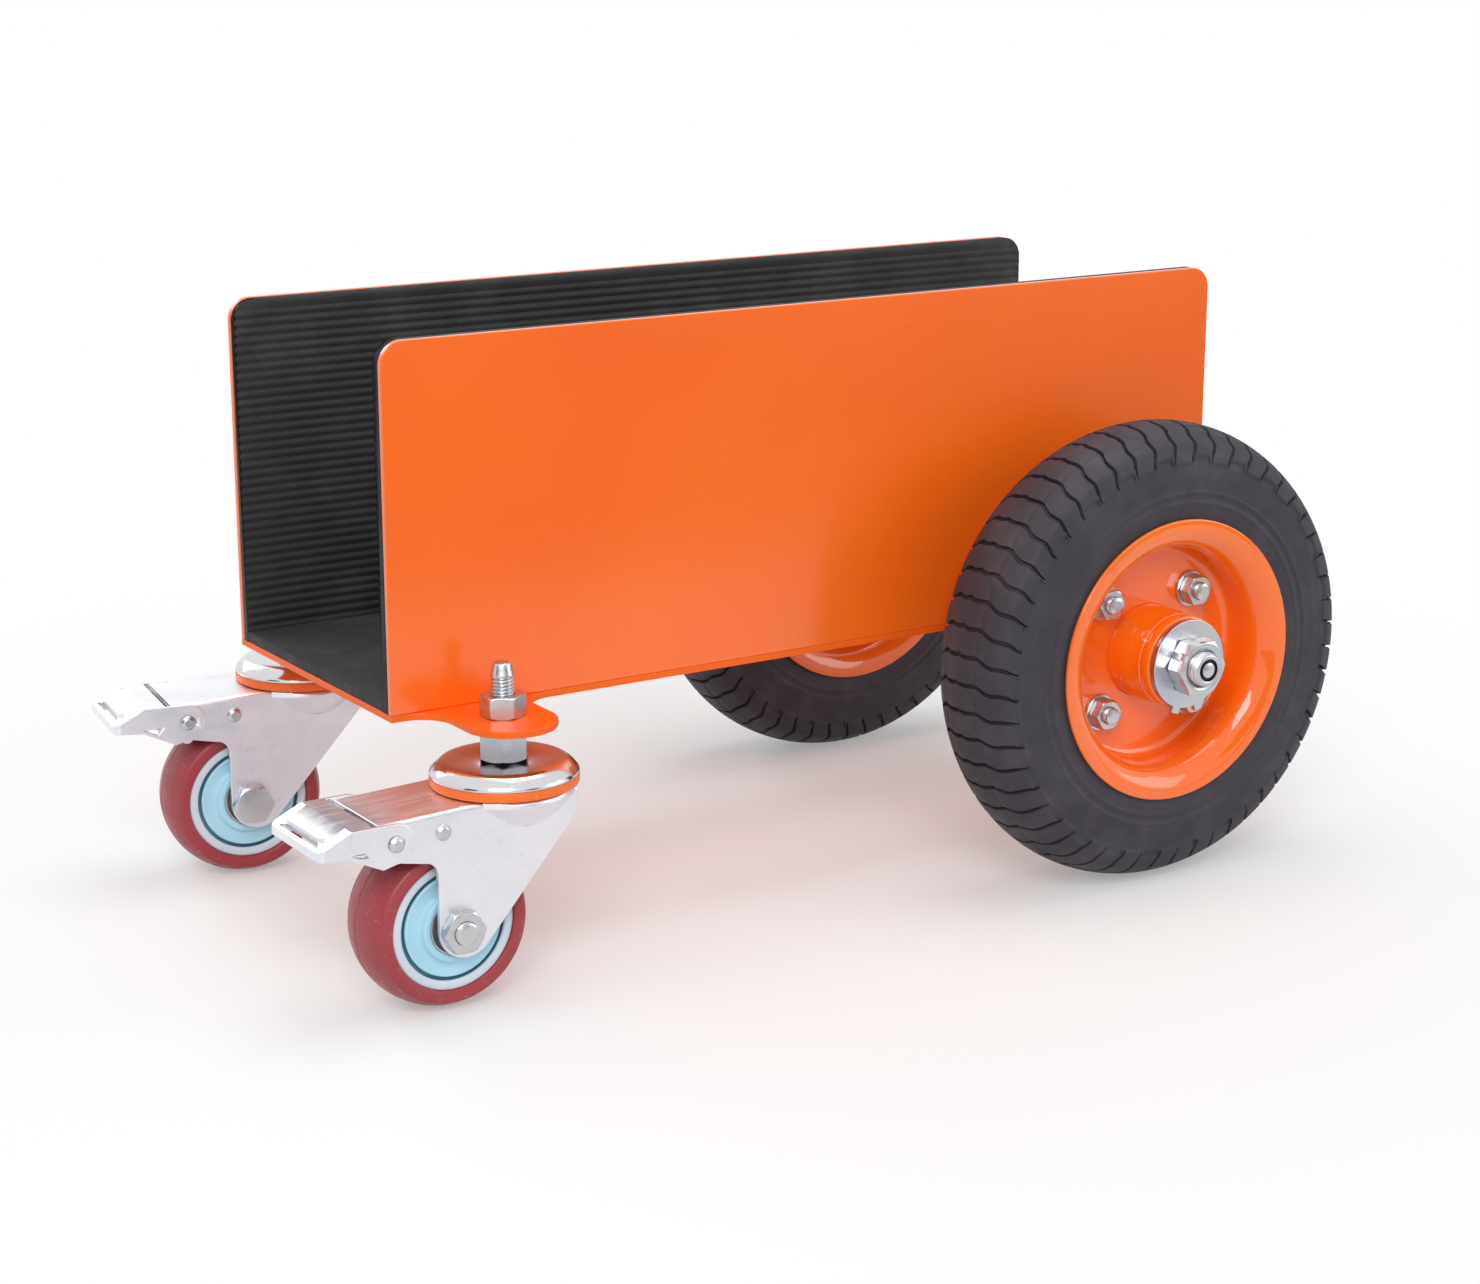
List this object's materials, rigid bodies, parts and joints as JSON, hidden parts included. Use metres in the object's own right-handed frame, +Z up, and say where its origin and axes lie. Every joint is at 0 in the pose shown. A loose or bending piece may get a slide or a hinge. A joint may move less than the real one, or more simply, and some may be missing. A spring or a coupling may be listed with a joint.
{
  "type": "door dolly",
  "caption": "Padded steel channel that carries the lower edge of a door or slab, on large rubber wheels at one end and braked swivel casters at the other.",
  "frame": {"origin": "on the floor, under the middle of the dolly's bounding box", "axes": "+X along the channel from the casters to the large wheels, +Z up, floor at z = 0"},
  "size_m": [0.5279, 0.349, 0.2748],
  "materials": {
    "orange_paint": "satin powder coat",
    "orange_rim": "gloss paint",
    "orange_seal": "moulded, satin",
    "pad_rubber": "matt ribbed rubber",
    "tyre_rubber": "matt rubber",
    "zinc_fastener": "bright zinc plate",
    "zinc_sheet": "bright zinc plate",
    "bright_cap": "polished plate",
    "bearing_steel": "ground steel",
    "red_tread": "satin polyurethane",
    "blue_core": "moulded, satin"
  },
  "bodies": {
    "frame": {"base_plate": "orange_paint", "left_side_plate": "orange_paint", "right_side_plate": "orange_paint", "left_side_pad": "pad_rubber", "right_side_pad": "pad_rubber", "floor_pad": "pad_rubber", "wheel_axle": "zinc_fastener", "axle_brackets": "orange_paint", "axle_spacers": "zinc_fastener", "axle_tab_washers": "zinc_fastener", "axle_nuts": "zinc_fastener", "bearing_inner_rings": "bearing_steel", "bearing_spacers": "bearing_steel", "left_caster_stem": "zinc_fastener", "right_caster_stem": "zinc_fastener", "stem_nuts": "zinc_fastener", "left_swivel_cap": "bright_cap", "right_swivel_cap": "bright_cap", "left_swivel_ring": "orange_seal", "right_swivel_ring": "orange_seal", "kingpin_washers": "zinc_fastener"},
    "left_wheel": {"left_tyre": "tyre_rubber", "left_rim_outer_half": "orange_rim", "left_rim_inner_half": "orange_rim", "left_hub": "orange_rim", "left_bearing_outer_rings": "bearing_steel", "left_bearing_balls": "bearing_steel", "left_rim_bolts": "zinc_fastener", "left_rim_washers": "zinc_fastener", "left_rim_nuts": "zinc_fastener"},
    "left_caster": {"left_caster_fork": "zinc_sheet", "left_swivel_balls": "bearing_steel", "left_fork_rivets": "zinc_fastener", "left_caster_bushes": "zinc_fastener", "left_caster_bolt": "zinc_fastener", "left_caster_nut": "zinc_fastener"},
    "left_caster_wheel": {"left_caster_tread": "red_tread", "left_caster_core": "blue_core", "left_caster_bearings": "bearing_steel"},
    "left_brake": {"left_brake_pedal": "zinc_sheet"},
    "right_wheel": {"right_tyre": "tyre_rubber", "right_rim_outer_half": "orange_rim", "right_rim_inner_half": "orange_rim", "right_hub": "orange_rim", "right_bearing_outer_rings": "bearing_steel", "right_bearing_balls": "bearing_steel", "right_rim_bolts": "zinc_fastener", "right_rim_washers": "zinc_fastener", "right_rim_nuts": "zinc_fastener"},
    "right_caster": {"right_caster_fork": "zinc_sheet", "right_swivel_balls": "bearing_steel", "right_fork_rivets": "zinc_fastener", "right_caster_bushes": "zinc_fastener", "right_caster_bolt": "zinc_fastener", "right_caster_nut": "zinc_fastener"},
    "right_caster_wheel": {"right_caster_tread": "red_tread", "right_caster_core": "blue_core", "right_caster_bearings": "bearing_steel"},
    "right_brake": {"right_brake_pedal": "zinc_sheet"}
  },
  "joints": [
    {"name": "left_wheel_spin", "type": "hinge", "parent": "frame", "child": "left_wheel", "pos_m": [0.1565, -0.1275, 0.1075], "axis": [0, 1, 0], "continuous": true},
    {"name": "left_caster_swivel", "type": "hinge", "parent": "frame", "child": "left_caster", "pos_m": [-0.1655, -0.1, 0.0899], "axis": [0, 0, 1], "continuous": true},
    {"name": "left_caster_roll", "type": "hinge", "parent": "left_caster", "child": "left_caster_wheel", "pos_m": [-0.1985, -0.1, 0.0375], "axis": [0, 1, 0], "continuous": true},
    {"name": "left_brake_press", "type": "hinge", "parent": "left_caster", "child": "left_brake", "pos_m": [-0.2275, -0.1, 0.0804], "axis": [0, -1, 0], "range_deg": [0, 20]},
    {"name": "right_wheel_spin", "type": "hinge", "parent": "frame", "child": "right_wheel", "pos_m": [0.1565, 0.1275, 0.1075], "axis": [0, 1, 0], "continuous": true},
    {"name": "right_caster_swivel", "type": "hinge", "parent": "frame", "child": "right_caster", "pos_m": [-0.1655, 0.1, 0.0899], "axis": [0, 0, 1], "continuous": true},
    {"name": "right_caster_roll", "type": "hinge", "parent": "right_caster", "child": "right_caster_wheel", "pos_m": [-0.19818, 0.10459, 0.0375], "axis": [0.1392, 0.9903, 0], "continuous": true},
    {"name": "right_brake_press", "type": "hinge", "parent": "right_caster", "child": "right_brake", "pos_m": [-0.2269, 0.10863, 0.0804], "axis": [-0.1392, -0.9903, 0], "range_deg": [0, 20]}
  ]
}
